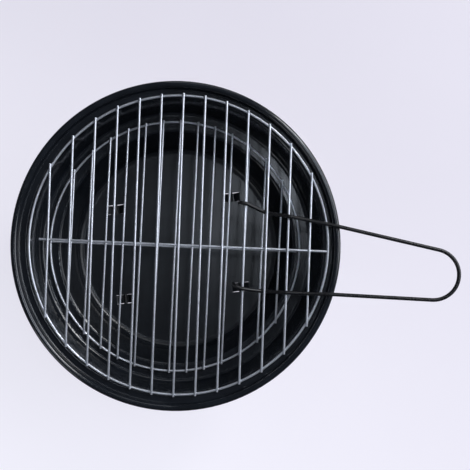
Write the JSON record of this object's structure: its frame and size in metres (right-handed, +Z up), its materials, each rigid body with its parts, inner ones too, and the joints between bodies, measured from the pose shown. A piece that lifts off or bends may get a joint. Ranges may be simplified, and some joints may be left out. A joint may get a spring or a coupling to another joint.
{
  "type": "portable tabletop grill",
  "caption": "Round portable charcoal grill: a deep black enamelled bowl with a rolled rim, wire charcoal and cooking grates, a hairpin lifting handle and folding wire legs.",
  "frame": {"origin": "on the bowl's axis, in the plane that the open legs stand on", "axes": "+Z up; the bars of both grates run along Y; +X is the side that the lifting handle points to"},
  "size_m": [0.4718, 0.35, 0.1968],
  "materials": {
    "enamel": "glossy black vitreous enamel on pressed steel",
    "plated_wire": "bright chrome plate on drawn steel wire",
    "black_wire": "satin black lacquer on steel wire"
  },
  "bodies": {
    "bowl": {"bowl": "enamel"},
    "charcoal_grate": {"charcoal_ring": "plated_wire", "charcoal_cross_bar": "plated_wire", "charcoal_bar_01": "plated_wire", "charcoal_bar_02": "plated_wire", "charcoal_bar_03": "plated_wire", "charcoal_bar_04": "plated_wire", "charcoal_bar_05": "plated_wire", "charcoal_bar_06": "plated_wire", "charcoal_bar_07": "plated_wire", "charcoal_bar_08": "plated_wire", "charcoal_bar_09": "plated_wire", "charcoal_bar_10": "plated_wire", "charcoal_bar_11": "plated_wire", "charcoal_bar_12": "plated_wire", "charcoal_bar_13": "plated_wire"},
    "cooking_grate": {"cooking_ring": "plated_wire", "cooking_cross_bar": "plated_wire", "cooking_bar_01": "plated_wire", "cooking_bar_02": "plated_wire", "cooking_bar_03": "plated_wire", "cooking_bar_04": "plated_wire", "cooking_bar_05": "plated_wire", "cooking_bar_06": "plated_wire", "cooking_bar_07": "plated_wire", "cooking_bar_08": "plated_wire", "cooking_bar_09": "plated_wire", "cooking_bar_10": "plated_wire", "cooking_bar_11": "plated_wire", "cooking_bar_12": "plated_wire", "cooking_bar_13": "plated_wire"},
    "handle": {"lifting_handle": "black_wire"},
    "leg_right": {"leg_right": "black_wire"},
    "leg_left": {"leg_left": "black_wire"}
  },
  "joints": [
    {"name": "charcoal_grate_lift", "type": "slide", "parent": "bowl", "child": "charcoal_grate", "axis": [0, 0, 1], "range_m": [0, 0.075]},
    {"name": "cooking_grate_lift", "type": "slide", "parent": "charcoal_grate", "child": "cooking_grate", "axis": [0, 0, 1], "range_m": [0, 0.05]},
    {"name": "handle_tilt", "type": "hinge", "parent": "cooking_grate", "child": "handle", "pos_m": [0.0958, 0, 0.17254], "axis": [0, -1, 0], "range_deg": [0, 3]},
    {"name": "leg_right_fold", "type": "hinge", "parent": "bowl", "child": "leg_right", "pos_m": [0.07073, 0.00994, 0.06365], "axis": [-0.1392, 0.9903, 0], "range_deg": [0, 112.5]},
    {"name": "leg_left_fold", "type": "hinge", "parent": "bowl", "child": "leg_left", "pos_m": [-0.07073, -0.00994, 0.06365], "axis": [0.1392, -0.9903, 0], "range_deg": [0, 112.5]}
  ]
}
